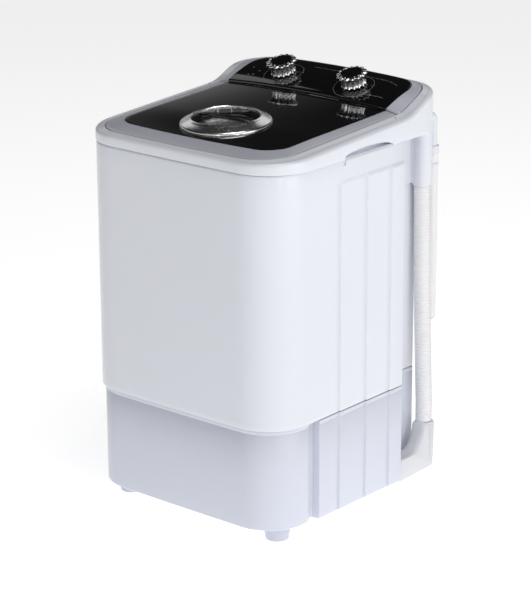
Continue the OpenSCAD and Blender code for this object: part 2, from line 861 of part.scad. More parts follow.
module motor_housing() {
  color(motor_grey) at_motor() difference() {
    union() {
      tube(motor_r, motor_r - 2.5, motor_z0 + 8, motor_z1 - 8);
      tube(motor_r, 9, motor_z0 + 5, motor_z0 + 8.1);
      tube(motor_r, 9, motor_z1 - 8.1, motor_z1 - 5);
      tube(12, motor_shaft_r + run, motor_z0, motor_z0 + 12);
      tube(12, motor_shaft_r + run, motor_z1 - 12, motor_z1);
      for (k = [0:3]) rotate([0, 0, k * 90 + 45]) translate([motor_r + 2, 0, motor_z1 - 12])
        tube(6, 2.3, 0, 12);
    }
    for (k = [0:7]) rotate([0, 0, k * 45]) translate([26, 0, motor_z0 + 4])
      cylinder(r = 5, h = 5, $fn = 32);
  }
}

module motor_stator() {
  color([0.66, 0.40, 0.22]) at_motor() tube(motor_r - 2.6, 25.5, motor_z0 + 16, motor_z1 - 16);
}

module motor_rotor() {
  color([0.55, 0.56, 0.58]) at_motor() tube(24.8, motor_shaft_r + 0.02, motor_z0 + 14, motor_z1 - 14);
}

module motor_shaft() {
  color(steel) at_motor() translate([0, 0, pulley_z - 4]) cylinder(r = motor_shaft_r, h = motor_z1 - pulley_z);
}

module motor_pulley() {
  color(steel) at_motor() translate([0, 0, pulley_z]) difference() {
    pulley(small_r, pulley_h, motor_shaft_r + 0.02);
    translate([0, 0, -1]) cylinder(r = motor_shaft_r + 0.02, h = 20);
  }
}

module motor_bracket() {
  color(steel) difference() {
    union() {
      translate([motor_x - 48, motor_y - 48, motor_z1 + 0.1]) cube([96, 96, 2.5]);
      for (x = [-1, 1]) for (y = [-1, 1])
        translate([motor_x + x * 42, motor_y + y * 42, motor_z1 + 2.5]) cylinder(r = 5, h = 9.4);
    }
    at_motor() translate([0, 0, motor_z1 - 1]) cylinder(r = 14, h = 12);
    for (k = [0:3]) at_motor() rotate([0, 0, k * 90 + 45]) translate([motor_r + 2, 0, motor_z1 - 1])
      cylinder(r = 2.3, h = 6, $fn = 24);
  }
}

module motor_screws() {
  color(steel) for (k = [0:3]) at_motor() rotate([0, 0, k * 90 + 45])
    translate([motor_r + 2, 0, motor_z1 + 2.65]) screw(2, 12, 3.8, 2.4);
}

module run_capacitor() {
  color([0.80, 0.80, 0.78]) translate([-95, 70, floor_z + floor_t]) union() {
    cylinder(r = 17, h = 62);
    cylinder(r = 19, h = 5);
    for (s = [-1, 1]) translate([s * 6 - 0.4, -3, 61]) cube([0.8, 6, 9]);
  }
}

// ---- water ----

module drain_grate() {
  color([0.78, 0.80, 0.84]) translate([sump_x, sump_y, tub_floor + tub_t + 0.05]) difference() {
    union() {
      cylinder(r = sump_r + 1, h = 1.8);
      translate([0, 0, -6]) cylinder(r = pipe_bore - 0.3, h = 6.1);
    }
    translate([0, 0, -7]) cylinder(r = pipe_bore - 1.6, h = 7.5);
    for (i = [-1:1]) translate([i * 3.4 - 0.8, -4, -1]) cube([1.6, 8, 5]);
  }
}

// A quarter bend of the drain pipe in the XY plane, from angle start onwards.
module pipe_turn(r, start) {
  rotate([0, 0, start]) rotate_extrude(angle = 90) translate([pipe_turn_r, 0]) circle(r = r);
}

// The drain pipe's line as a solid of radius r, its two ends longer by extra.
module pipe_line(r, extra) {
  t = pipe_turn_r;
  translate([sump_x, sump_y, outlet_z + t]) cylinder(r = r, h = tub_floor - 0.1 - outlet_z - t + extra);
  translate([sump_x, sump_y + t, outlet_z + t]) rotate([90, 0, 90]) pipe_turn(r, 180);
  translate([sump_x, sump_y + t, outlet_z]) rotate([-90, 0, 0])
    cylinder(r = r, h = pipe_bend_y - sump_y - 2 * t);
  translate([sump_x + t, pipe_bend_y - t, outlet_z]) pipe_turn(r, 90);
  translate([sump_x + t, pipe_bend_y, outlet_z]) rotate([0, 90, 0])
    cylinder(r = r, h = outlet_x - sump_x - 2 * t);
  translate([outlet_x - t, pipe_bend_y + t, outlet_z]) pipe_turn(r, 270);
  translate([outlet_x, pipe_bend_y + t, outlet_z]) rotate([-90, 0, 0])
    cylinder(r = r, h = 74.9 - pipe_bend_y - t + extra);
}

module drain_pipe() {
  color([0.75, 0.76, 0.78]) difference() {
    pipe_line(pipe_r, 0);
    pipe_line(pipe_bore, 1);
  }
}

module drain_outlet() {
  color([0.60, 0.61, 0.64]) translate([outlet_x, 0, outlet_z]) rotate([-90, 0, 0]) difference() {
    union() {
      translate([0, 0, 75]) cylinder(r = pipe_r, h = 17);
      translate([0, 0, panel_rear_y + 0.1]) cylinder(r = 14, h = 3);
      translate([0, 0, 75]) cylinder(r = 12, h = 5);
    }
    translate([0, 0, 70]) cylinder(r = pipe_bore, h = 30);
  }
}

// Square-cornered elbow that turns the outlet's line up into the drain hose.
module drain_elbow() {
  color(hose_white) difference() {
    translate([outlet_x - elbow_w / 2, 0, 0]) rotate([90, 0, 90]) linear_extrude(elbow_w)
      polygon(elbow_outline);
    translate([outlet_x, 80, outlet_z]) rotate([-90, 0, 0]) cylinder(r = pipe_r + run, h = 12.3);
    translate([outlet_x, 85, outlet_z]) rotate([-90, 0, 0])
      cylinder(r = pipe_bore, h = elbow_y - 85 + pipe_bore);
    translate([outlet_x, elbow_y, outlet_z - 4]) cylinder(r = pipe_bore + 0.6, h = 60);
  }
}

module drain_hose() {
  color(hose_white) swept(drain_route, drain_hose_d / 2);
}

module hose_holder() {
  top = seam_z - 0.1;
  color(white) difference() {
    union() {
      translate([holder_x, holder_y, holder_z0]) cylinder(r = holder_r, h = top - holder_z0);
      // web that joins the sleeve to the cabinet
      translate([back_x + 0.2, 118, holder_z0 + 2]) cube([2.5, 31, top - holder_z0 - 2]);
      translate([back_x + 0.2, 144, holder_z0 + 2]) cube([8, 6, top - holder_z0 - 2]);
    }
    translate([holder_x, holder_y, holder_z0 - 1]) cylinder(r = drain_hose_d / 2 + 0.3, h = 66);
  }
}

module inlet_elbow() {
  stub = 17;
  color(white) difference() {
    union() {
      translate([inlet_x, inlet_y - stub, inlet_z]) rotate([-90, 0, 0]) cylinder(r = 7.5, h = stub);
      translate([inlet_x, inlet_y, inlet_z]) sphere(r = 9);
      translate([inlet_x, inlet_y, fill_top - 1]) cylinder(r = 7.5, h = inlet_z - fill_top);
      translate([inlet_x, inlet_y, fill_top - 12]) cylinder(r = 10.3, h = 12);
    }
    translate([inlet_x, inlet_y, fill_top - 13]) cylinder(r = 4.5, h = inlet_z - fill_top + 13);
    translate([inlet_x, inlet_y - 20, inlet_z]) rotate([-90, 0, 0]) cylinder(r = 4.5, h = 20);
  }
}

// Leads the water from the elbow to the mouth's neck, inside the top cover.
module inlet_spout() {
  color(white) translate([0, 0, inlet_z]) difference() {
    union() {
      translate([inlet_x, spout_y, 0]) rotate([-90, 0, 0]) cylinder(r = spout_r, h = 9.9);
      translate([inlet_x, spout_y, 0]) sphere(r = spout_r);
      translate([spout_x, spout_y, 0]) rotate([0, 90, 0]) cylinder(r = spout_r, h = inlet_x - spout_x);
      translate([spout_x, spout_y, 0]) sphere(r = spout_r);
      translate([spout_x, spout_end, 0]) rotate([-90, 0, 0]) cylinder(r = spout_r, h = spout_y - spout_end);
    }
    translate([inlet_x, spout_y, 0]) rotate([-90, 0, 0]) cylinder(r = spout_bore, h = 12);
    translate([spout_x, spout_y, 0]) rotate([0, 90, 0]) cylinder(r = spout_bore, h = inlet_x - spout_x);
    translate([spout_x, spout_end - 1, 0]) rotate([-90, 0, 0])
      cylinder(r = spout_bore, h = spout_y - spout_end + 1);
  }
}

module fill_hose() {
  color(hose_white) swept(fill_route, fill_hose_d / 2);
}

module cord_gland() {
  color(rubber_black) translate([-110, back_y, 482]) rotate([-90, 0, 0]) difference() {
    union() {
      translate([0, 0, -wall - 3]) cylinder(r = 8.5, h = 2.5);
      translate([0, 0, -wall - 1]) cylinder(r = 6.8, h = wall + 2);
      translate([0, 0, 0.1]) cylinder(r = 9.5, h = 3);
      translate([0, 0, 3]) cylinder(r = 6, h = 14);
    }
    translate([0, 0, -10]) cylinder(r = 3.4, h = 40, $fn = 32);
  }
}

base_shell();
foot_front_left();
foot_front_right();
foot_rear_left();
foot_rear_right();
cabinet_shell();
top_cover();
top_cover_screws();
rear_cover();
rear_cover_screws();
lid_frame();
lid_panel();
lid_ring();
lid_finger_cup();
hinge_pin_left();
hinge_pin_right();
panel_frame();
panel_fascia();
timer_knob();
timer_knob_cap();
timer_shaft();
wash_timer();
selector_knob();
selector_knob_cap();
selector_shaft();
mode_switch();
wash_tub();
pulsator();
pulsator_screw();
drive_shaft();
shaft_seal();
upper_bearing();
lower_bearing();
bearing_housing();
drive_pulley();
pulley_nut();
drive_belt();
motor_housing();
motor_stator();
motor_rotor();
motor_shaft();
motor_pulley();
motor_bracket();
motor_screws();
run_capacitor();
drain_grate();
drain_pipe();
drain_outlet();
drain_elbow();
drain_hose();
hose_holder();
inlet_elbow();
inlet_spout();
fill_hose();
cord_gland();
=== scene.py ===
import math

import bmesh
import bpy
from mathutils import Matrix, Vector


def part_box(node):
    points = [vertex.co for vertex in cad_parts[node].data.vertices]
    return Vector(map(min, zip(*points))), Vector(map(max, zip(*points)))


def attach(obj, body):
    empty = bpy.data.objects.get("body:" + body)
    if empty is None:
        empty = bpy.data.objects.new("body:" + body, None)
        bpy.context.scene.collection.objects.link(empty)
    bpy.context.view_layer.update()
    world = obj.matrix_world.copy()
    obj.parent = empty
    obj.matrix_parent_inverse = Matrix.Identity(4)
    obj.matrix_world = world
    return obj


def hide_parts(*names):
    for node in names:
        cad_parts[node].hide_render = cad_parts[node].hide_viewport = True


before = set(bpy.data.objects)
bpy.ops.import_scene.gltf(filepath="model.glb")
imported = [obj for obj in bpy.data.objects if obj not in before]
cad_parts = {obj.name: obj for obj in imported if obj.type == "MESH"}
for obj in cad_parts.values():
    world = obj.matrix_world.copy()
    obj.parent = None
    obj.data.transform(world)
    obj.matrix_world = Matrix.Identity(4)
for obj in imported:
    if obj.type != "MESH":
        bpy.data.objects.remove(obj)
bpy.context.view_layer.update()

MM = 0.001
QUARTER = math.pi / 2

# ---- camera ----

azimuth, elevation, roll = math.radians(40.04), math.radians(17.93), math.radians(-0.23)
camera_place = (2.0196, -2.4010, 1.3055)

forward = Vector((-math.sin(azimuth) * math.cos(elevation),
                  math.cos(azimuth) * math.cos(elevation), -math.sin(elevation)))
level = Vector((math.cos(azimuth), math.sin(azimuth), 0))
right = level * math.cos(roll) + level.cross(forward) * math.sin(roll)
up = right.cross(forward)
camera_data = bpy.data.cameras.new("camera")
camera_data.lens = 140.025
camera_data.shift_x = -0.0018
camera_data.shift_y = -0.012
camera = bpy.data.objects.new("camera", camera_data)
camera.matrix_world = Matrix((
    (right.x, up.x, -forward.x, camera_place[0]),
    (right.y, up.y, -forward.y, camera_place[1]),
    (right.z, up.z, -forward.z, camera_place[2]),
    (0, 0, 0, 1)))
bpy.context.scene.collection.objects.link(camera)
bpy.context.scene.camera = camera

# ---- materials ----

TINT_SCALE, GLOSS_SCALE, GRAIN_SCALE, BRUSH_SCALE = 5, 24, 420, 300
PLASTIC_GRAIN_HEIGHT, METAL_GRAIN_HEIGHT = 0.00005, 0.0001


class Graph:
    """A material whose colour, roughness and bump vary a little over the surface."""

    def __init__(self, name):
        self.material = bpy.data.materials.new(name)
        self.material.use_nodes = True
        self.nodes = self.material.node_tree.nodes
        self.links = self.material.node_tree.links
        self.shader = self.nodes["Principled BSDF"]
        self.place = self.nodes.new("ShaderNodeTexCoord").outputs["Object"]

    def noise(self, scale, detail=3.0, stretch=None):
        node = self.nodes.new("ShaderNodeTexNoise")
        node.inputs["Scale"].default_value = scale
        node.inputs["Detail"].default_value = detail
        source = self.place
        if stretch:
            mapping = self.nodes.new("ShaderNodeMapping")
            mapping.inputs["Scale"].default_value = stretch
            self.links.new(source, mapping.inputs["Vector"])
            source = mapping.outputs["Vector"]
        self.links.new(source, node.inputs["Vector"])
        return node.outputs["Fac"]

    def span(self, value, low, high):
        """Spreads a noise's middle range over low to high."""
        node = self.nodes.new("ShaderNodeMapRange")
        node.inputs["From Min"].default_value = 0.3
        node.inputs["From Max"].default_value = 0.7
        node.inputs["To Min"].default_value = low
        node.inputs["To Max"].default_value = high
        self.links.new(value, node.inputs["Value"])
        return node.outputs["Result"]

    def colours(self, value, first, second):
        node = self.nodes.new("ShaderNodeMix")
        node.data_type = "RGBA"
        node.inputs["A"].default_value = (*first, 1)
        node.inputs["B"].default_value = (*second, 1)
        self.links.new(self.span(value, 0, 1), node.inputs["Factor"])
        self.links.new(node.outputs["Result"], self.shader.inputs["Base Color"])

    def bump(self, value, strength, distance):
        node = self.nodes.new("ShaderNodeBump")
        node.inputs["Strength"].default_value = strength
        node.inputs["Distance"].default_value = distance
        self.links.new(value, node.inputs["Height"])
        self.links.new(node.outputs["Normal"], self.shader.inputs["Normal"])

    def roughness(self, value, low, high):
        self.links.new(self.span(value, low, high), self.shader.inputs["Roughness"])


def shades(colour, tint):
    """A colour a little darker and a little lighter."""
    return [c * (1 - tint) for c in colour], [min(c * (1 + tint), 1) for c in colour]


def plastic(name, colour, rough, grain=0.05, coat=0.0, specular=0.5, tint=0.02, scatter=0.0):
    g = Graph(name)
    g.colours(g.noise(TINT_SCALE, 4), *shades(colour, tint))
    g.roughness(g.noise(GLOSS_SCALE, 2), rough * 0.92, min(rough * 1.08, 1))
    g.bump(g.noise(GRAIN_SCALE, 2), grain, PLASTIC_GRAIN_HEIGHT)
    g.shader.inputs["Specular IOR Level"].default_value = specular
    g.shader.inputs["Coat Weight"].default_value = coat
    g.shader.inputs["Coat Roughness"].default_value = 0.06
    if scatter:
        g.shader.inputs["Subsurface Weight"].default_value = scatter
        g.shader.inputs["Subsurface Scale"].default_value = 0.004
    return g.material


def metal(name, colour, rough, grain=0.05, stretch=None, tint=0.05):
    g = Graph(name)
    brushed = g.noise(BRUSH_SCALE, 3, stretch)
    g.colours(brushed, *shades(colour, tint))
    g.roughness(brushed, rough * 0.7, min(rough * 1.4, 1))
    g.bump(brushed, grain, METAL_GRAIN_HEIGHT)
    g.shader.inputs["Metallic"].default_value = 1.0
    return g.material


finish = {
    "shell_white": plastic("white_gloss", (0.765, 0.785, 0.845), 0.24, coat=0.3, tint=0.008),
    "base_lilac": plastic("lilac_satin", (0.665, 0.69, 0.775), 0.3, coat=0.2, tint=0.01),
    "foot_plastic": plastic("foot_plastic", (0.55, 0.57, 0.65), 0.38, scatter=0.1, tint=0.02),
    "trim_grey": plastic("trim_grey", (0.54, 0.55, 0.62), 0.3, coat=0.2, grain=0.08),
    "gloss_black": plastic("gloss_black", (0.004, 0.004, 0.005), 0.05, grain=0.004,
                           specular=0.8, tint=0.2),
    "chrome_plate": metal("chrome_plate", (0.82, 0.82, 0.81), 0.05, grain=0.01, tint=0.02),
    "chrome_satin": metal("chrome_satin", (0.92, 0.92, 0.91), 0.2, grain=0.01, tint=0.02),
    "steel": metal("steel", (0.55, 0.56, 0.58), 0.3, stretch=(1, 1, 0.05)),
    "tub_plastic": plastic("tub_plastic", (0.72, 0.76, 0.81), 0.3, scatter=0.1, tint=0.02),
    "pulsator_blue": plastic("pulsator_blue", (0.48, 0.57, 0.72), 0.3, coat=0.2, tint=0.03),
    "cast_aluminium": metal("cast_aluminium", (0.62, 0.63, 0.65), 0.5, grain=0.4),
    "dark_plastic": plastic("dark_plastic", (0.035, 0.036, 0.04), 0.5, grain=0.2, tint=0.08),
    "pale_plastic": plastic("pale_plastic", (0.62, 0.62, 0.56), 0.5, grain=0.1, tint=0.03),
    "copper_winding": metal("copper_winding", (0.62, 0.28, 0.12), 0.35, grain=0.5,
                            stretch=(0.1, 0.1, 3)),
    "black_rubber": plastic("black_rubber", (0.012, 0.012, 0.012), 0.65, grain=0.3,
                            specular=0.3, tint=0.15),
    "pipe_grey": plastic("pipe_grey", (0.48, 0.49, 0.52), 0.4, grain=0.1, tint=0.03),
    "hose_plastic": plastic("hose_plastic", (0.84, 0.84, 0.85), 0.36, scatter=0.2, tint=0.01),
    # A darker copy of the hose plastic for the drain elbow, as painted shade.
    "hose_plastic_painted_shade": plastic("hose_plastic_painted_shade", (0.69, 0.70, 0.73), 0.36, tint=0.01),
    "print_grey": plastic("print_grey", (0.30, 0.31, 0.33), 0.45, grain=0.1, tint=0.05),
}

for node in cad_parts.values():
    for place in node.material_slots:
        place.material = finish[place.material.name.split(".")[0]]

# ---- shared shapes, in millimetres ----


def linked(name, mesh):
    """Makes an object of a bmesh, which is used up, and puts it in the scene."""
    data = bpy.data.meshes.new(name)
    mesh.to_mesh(data)
    mesh.free()
    made = bpy.data.objects.new(name, data)
    bpy.context.scene.collection.objects.link(made)
    return made


def solid(name, mesh):
    """Makes an object of a closed bmesh in millimetres."""
    bmesh.ops.recalc_face_normals(mesh, faces=mesh.faces)
    mesh.transform(Matrix.Scale(MM, 4))
    return linked(name, mesh)


def piece(name, mesh, slot, body, replaced=(), finish_name=None):
    """Makes a visible piece of a bmesh; it rides on a body and takes a slot's finish."""
    made = solid(name, mesh)
    made.data.materials.append(finish[finish_name or slot])
    for face in made.data.polygons:
        face.use_smooth = True
    made.data.set_sharp_from_angle(angle=math.radians(38))
    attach(made, body)
    if replaced:
        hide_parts(*replaced)
    return made


def skin(mesh, rows, round_rows=False):
    """Faces between neighbouring loops of points. The last loop meets the first, or both are capped."""
    made = [[mesh.verts.new(point) for point in row] for row in rows]
    pairs = list(zip(made, made[1:]))
    if round_rows:
        pairs.append((made[-1], made[0]))
    count = len(made[0])
    for low, high in pairs:
        for i in range(count):
            j = (i + 1) % count
            mesh.faces.new((low[i], low[j], high[j], high[i]))
    if not round_rows:
        mesh.faces.new(list(reversed(made[0])))
        mesh.faces.new(made[-1])
    return mesh


def skinned(rows, **options):
    return skin(bmesh.new(), rows, **options)


def turned(profile, sides=96, wave=None):
    """Rows of a turned shape about Z; wave(angle, radius, height) may change a radius."""
    rows = []
    for radius, height in profile:
        row = []
        for k in range(sides):
            a = 2 * math.pi * k / sides
            r = wave(a, radius, height) if wave else radius
            row.append((r * math.cos(a), r * math.sin(a), height))
        rows.append(row)
    return rows


def moved(rows, matrix):
    return [[matrix @ Vector(point) for point in row] for row in rows]


def shifted(rows, x, y, z=0):
    return moved(rows, Matrix.Translation((x, y, z)))


def raised(outline, z):
    return [(x, y, z) for x, y in outline]


def rounded(corners, radius, steps=4):
    """A line through 2-D corners, with its inner corners rounded."""
    line = [corners[0]]
    for before, corner, after in zip(corners, corners[1:], corners[2:]):
        c, a, b = Vector(corner), Vector(before), Vector(after)
        r = min(radius, (a - c).length * 0.45, (b - c).length * 0.45)
        start, end = c + (a - c).normalized() * r, c + (b - c).normalized() * r
        for i in range(steps + 1):
            s = i / steps
            line.append(tuple(start * (1 - s) ** 2 + c * 2 * s * (1 - s) + end * s * s))
    line.append(corners[-1])
    return line


def bow_at(px, x, bow):
    """How far a bowed edge of half width x stands out at px."""
    return bow * (1 - (px / x) ** 2)


def both_sides(half):
    """A closed outline from its right half, which starts and ends on the middle line."""
    return half + [(-px, py) for px, py in reversed(half[1:-1])]


def plan(x, y0, y1, rf, rr, bow=0.0, counts=(20, 14, 44, 14, 20)):
    """A rounded rectangle's outline, anticlockwise from the middle of its bowed front."""
    front, front_turn, side, rear_turn, rear = counts
    half = [((x - rf) * i / front, y0) for i in range(front)]
    for i in range(front_turn):
        a = QUARTER * i / front_turn
        half.append((x - rf + rf * math.sin(a), y0 + rf - rf * math.cos(a)))
    for i in range(side):
        half.append((x, y0 + rf + (y1 - rr - y0 - rf) * i / side))
    for i in range(rear_turn):
        a = QUARTER * i / rear_turn
        half.append((x - rr + rr * math.cos(a), y1 - rr + rr * math.sin(a)))
    half += [((x - rr) * (1 - i / rear), y1) for i in range(rear + 1)]
    return both_sides([(px, py - bow_at(px, x, bow) if py < y0 + rf else py) for px, py in half])


def u_path(x, y_open, y_closed, r, bow=0.0):
    """An open outline: up one side, round the closed end and back down the other side."""
    side, turn, end = 40, 16, 36
    way = 1 if y_closed > y_open else -1
    half = [(x, y_open + (y_closed - way * r - y_open) * i / side) for i in range(side)]
    for i in range(turn):
        a = QUARTER * i / turn
        half.append((x - r + r * math.cos(a), y_closed - way * r * (1 - math.sin(a))))
    half += [((x - r) * (1 - 2 * i / end), y_closed) for i in range(end // 2 + 1)]
    half = [(px, py + way * bow_at(px, x, bow) if (py - y_closed) * way > -r else py)
            for px, py in half]
    return half + [(-px, py) for px, py in reversed(half[:-1])]


def mix(first, second, s):
    """The outline at a share s of the way from a first to a second one."""
    return [(a[0] + (b[0] - a[0]) * s, a[1] + (b[1] - a[1]) * s) for a, b in zip(first, second)]


def smooth(value):
    """A soft step from 0 to 1."""
    value = min(max(value, 0.0), 1.0)
    return value * value * (3 - 2 * value)


def round_hole(outline, cy, r):
    """The points of a circle that lie in the directions of an outline's points."""
    points = []
    for px, py in outline:
        a = math.atan2(py - cy, px)
        points.append((r * math.cos(a), cy + r * math.sin(a)))
    return points


def curve_through(points, step):
    """Evenly spaced points on a smooth curve through points, and the curve's length."""
    ends = [points[0] * 2 - points[1], *points, points[-1] * 2 - points[-2]]
    fine = []
    for a, b, c, d in zip(ends, ends[1:], ends[2:], ends[3:]):
        for i in range(40):
            t = i / 40
            fine.append(0.5 * (2 * b + (c - a) * t + (2 * a - 5 * b + 4 * c - d) * t * t
                               + (3 * b - a - 3 * c + d) * t ** 3))
    fine.append(points[-1])
    length = sum((b - a).length for a, b in zip(fine, fine[1:]))
    count = round(length / step)
    spaced, gone, i = [fine[0]], 0.0, 0
    for k in range(1, count):
        target = length * k / count
        while gone + (fine[i + 1] - fine[i]).length < target:
            gone += (fine[i + 1] - fine[i]).length
            i += 1
        part = (target - gone) / (fine[i + 1] - fine[i]).length
        spaced.append(fine[i].lerp(fine[i + 1], part))
    return [*spaced, fine[-1]], length


def tube_rows(line, radius_at, sides):
    """Rows of a tube along a line; radius_at(i) gives its radius."""
    rows = []
    for i, point in enumerate(line):
        way = (line[min(i + 1, len(line) - 1)] - line[max(i - 1, 0)]).normalized()
        u = Vector((1, 0, 0)).cross(way).normalized()
        v = way.cross(u)
        r = radius_at(i)
        rows.append([point + u * (r * math.cos(2 * math.pi * k / sides))
                     + v * (r * math.sin(2 * math.pi * k / sides)) for k in range(sides)])
    return rows


def extruded(outline, x0, x1):
    """Rows of a solid whose outline in Y and Z runs from x0 to x1."""
    return [[(x, y, z) for y, z in outline] for x in (x0, x1)]


def cut(target, rows):
    """Takes the solid made of rows away from a piece."""
    tool = solid("cutter", skinned(rows))
    tool_data = tool.data
    modifier = target.modifiers.new("cut", "BOOLEAN")
    modifier.operation = "DIFFERENCE"
    modifier.solver = "EXACT"
    modifier.object = tool
    bpy.context.view_layer.update()
    shaped = target.evaluated_get(bpy.context.evaluated_depsgraph_get())
    result = bpy.data.meshes.new_from_object(shaped)
    target.modifiers.remove(modifier)
    old = target.data
    target.data = result
    bpy.data.meshes.remove(old)
    bpy.data.objects.remove(tool)
    bpy.data.meshes.remove(tool_data)


# ---- drain hose and its elbow ----

drain_x, drain_y, drain_z = 163, 160, 92
sleeve_x, sleeve_y = 155, 157
drain_route = [Vector(p) for p in (
    (drain_x, drain_y, drain_z + 0.1), (drain_x, drain_y, 120), (162.5, 159.5, 140),
    (160.5, 159, 200), (158.5, 158.5, 260), (157, 158, 330), (156, 157.5, 400),
    (sleeve_x, sleeve_y, 450), (sleeve_x, sleeve_y, 505))]
hose_r, rib_pitch, rib_depth, rib_parts = 12.0, 4.4, 0.9, 6


def hose_radius(i):
    """The corrugated hose's radius at a point; a rib takes rib_parts points."""
    return hose_r - rib_depth * (0.5 - 0.5 * math.cos(2 * math.pi * i / rib_parts)) ** 1.5


drain_line, drain_length = curve_through(drain_route, rib_pitch / rib_parts)
drain_hose = piece("corrugated_drain_hose", skinned(tube_rows(drain_line, hose_radius, 28)),
                   "hose_plastic", "cabinet", ["drain_hose"])

# The elbow's outline from the side, in Y and Z, and each slice's distance from its middle and inset.
elbow_side = [(88.4, 18), (168, 18), (171, 19), (172, 22), (172, 90.5), (171, drain_z),
              (149, drain_z), (147.6, 90.5), (146.4, 84), (144, 76), (140.6, 69), (136, 62.6),
              (130, 57.4), (122, 54), (110, 52.2), (88.4, 52)]
elbow_slices = [(11.4, 5.4), (10.6, 3.4), (9.2, 1.9), (7.4, 0.8), (5, 0.2), (2, 0)]
elbow_bend = (158, 34)
elbow_ribs, first_rib_z = 14, 30.4


def elbow_row(x, inset):
    """A slice of the elbow at x, drawn in by inset towards the middle of its bend."""
    row = []
    for y, z in elbow_side:
        away = Vector((y - elbow_bend[0], z - elbow_bend[1]))
        point = away * (1 - inset / away.length)
        row.append((x, elbow_bend[0] + point.x, elbow_bend[1] + point.y))
    return row


elbow = skinned([elbow_row(drain_x - x, inset) for x, inset in elbow_slices]
                + [elbow_row(drain_x + x, inset) for x, inset in reversed(elbow_slices)])
for i in range(elbow_ribs):
    z = first_rib_z + rib_pitch * i
    rib = [(0.5, z), (hose_r - 0.6, z), (hose_r, z + 0.7), (hose_r, z + 1.6),
           (hose_r - 0.6, z + 2.3), (0.5, z + 2.3)]
    skin(elbow, shifted(turned(rib, 32), drain_x, drain_y))
# The elbow is the hose plastic, darkened as painted shade.
piece("square_drain_elbow", elbow, "hose_plastic", "cabinet", ["drain_elbow"], "hose_plastic_painted_shade")

# ---- fill hose ----

inlet_x, nut_y, nut_z = 141, 199, 477
fill_end_z, slant_height, slant = 228, 14, 0.8
fill_r, fill_bore = 9.0, 6.6
fill_route = [Vector(p) for p in (
    (inlet_x, nut_y, nut_z), (inlet_x, nut_y, 440), (inlet_x, 199.5, 390), (inlet_x, 200, 340),
    (inlet_x, 199.5, 290), (inlet_x, nut_y, fill_end_z))]

fill_line, fill_length = curve_through(fill_route, 6)
rows = tube_rows(fill_line, lambda i: fill_r, 40)
rows += reversed(tube_rows(fill_line[-8:], lambda i: fill_bore, 40))
for row in rows:
    for point in row:
        low = max(0.0, 1 - (point.z - fill_end_z) / slant_height)
        point.z += low * (point.x - inlet_x) * slant
fill_hose = piece("smooth_fill_hose", skinned(rows), "hose_plastic", "cabinet", ["fill_hose"])

# ---- levels of the covers ----

hinge = Vector((0, 77, 553))
tilt = math.radians(3.3)
lid_matrix = Matrix.Translation(hinge) @ Matrix.Rotation(tilt, 4, "X")
arc_y, arc_z, rim_r, fascia_r = 193, 340.2, 243, 250
black_x = 143
lid_edge = 3.5


def lid_plane(y, h):
    """The height of a plane h above the hinge axis that has the lid's slope."""
    return hinge.z + (y - hinge.y) * math.tan(tilt) + h / math.cos(tilt)


def arc_height(y, r):
    return arc_z + math.sqrt(max(r * r - (arc_y - y) ** 2, 0))


def rim_height(y):
    """The top of the cover's rim: the lid's slope, turning smoothly into the panel's arc."""
    low = lid_plane(y, lid_edge)
    return low + (arc_height(y, rim_r) - low) * smooth((y - 76) / 69)


def side_fall(x):
    """How far a black surface falls off from its middle towards its sides, from 0 to 1."""
    return min(abs(x) / black_x, 1.0) ** 2.5


def fascia_height(x, y):
    return arc_height(y, fascia_r) - 4.5 * side_fall(x)


def lid_level(x, y):
    """The lid's top above the hinge axis, at a place on the lid."""
    rear = smooth((y + 228) / 228)
    front = 1 - smooth((y + 226) / 90)
    return 9.2 + 0.4 * rear - 0.9 * front - (1.2 + 2.4 * rear) * side_fall(x)


# ---- cabinet and base ----

wall = 3
side_x, skirt_x = 176.4, 171.9
rib_lines, rib_step = (-54, 3, 55.5), 1.2
panel_rear, back_x, back_y, back_r = 85, 142, 163, 5


def ribbed_side(x, ribs):
    """Points up a side panel from its front to its rear edge; ribs is 1 where it has its steps."""
    points = []
    for k, y in enumerate(rib_lines):
        near = x + k * rib_step * ribs
        far = x + (k + 1) * rib_step * ribs
        points += [(near, y - 12), (near, y - 1.6), (near - 0.5 * ribs, y - 0.9),
                   (near - 0.5 * ribs, y - 0.3), (far, y + 0.6), (far, y + 1.4)]
    end = x + len(rib_lines) * rib_step * ribs
    return points + [(end, panel_rear - 1.5), (end - 0.5, panel_rear - 0.5),
                     (end - 1.5, panel_rear)]


def panel_part(ribs, t):
    """The side panel's points, drawn in by t."""
    return [(px - t, py - (t if py > panel_rear - 2 else 0)) for px, py in ribbed_side(side_x, ribs)]


def rear_part(t):
    """Points from behind the side panel round to the middle of the rear wall, drawn in by t."""
    points = [(back_x + 1 - t, panel_rear), (back_x - t, panel_rear + 1)]
    for i in range(9):
        a = QUARTER * i / 8
        points.append((back_x - back_r + (back_r - t) * math.cos(a),
                       back_y - back_r + (back_r - t) * math.sin(a)))
    return points + [(70, back_y - t), (0, back_y - t)]


def front_part(x, y, r):
    """Points from the middle of the slightly bowed front round its corner."""
    points = [((x - r) * i / 14, y) for i in range(14)]
    for i in range(19):
        a = QUARTER * i / 18
        points.append((x - r + r * math.sin(a), y + r - r * math.cos(a)))
    return [(px, py - bow_at(px, x, 2)) for px, py in points]


def shell_row(z, inset=0.0, ribs=1):
    half = front_part(side_x - inset, -190 + inset, 64 - inset) + panel_part(ribs, inset)
    return raised(both_sides(half + rear_part(inset)), z)


def skirt_row(z, inset=0.0):
    """A level of the base: its skirt stands back in front, and meets the side panel at a groove."""
    x = skirt_x - inset
    groove = [(x, -122), (x - 0.4, -116), (x - 2.6, -110), (x - 5.6, -105.5), (x - 6.4, -102),
              (x - 6.4, -97.6), (side_x - inset - 1.6, -97), (side_x - inset - 0.4, -96.6),
              (side_x - inset, -95.4)]
    half = front_part(x, -185.5 + inset, 60 - inset) + groove + panel_part(1, inset)
    return raised(both_sides(half + rear_part(inset)), z)


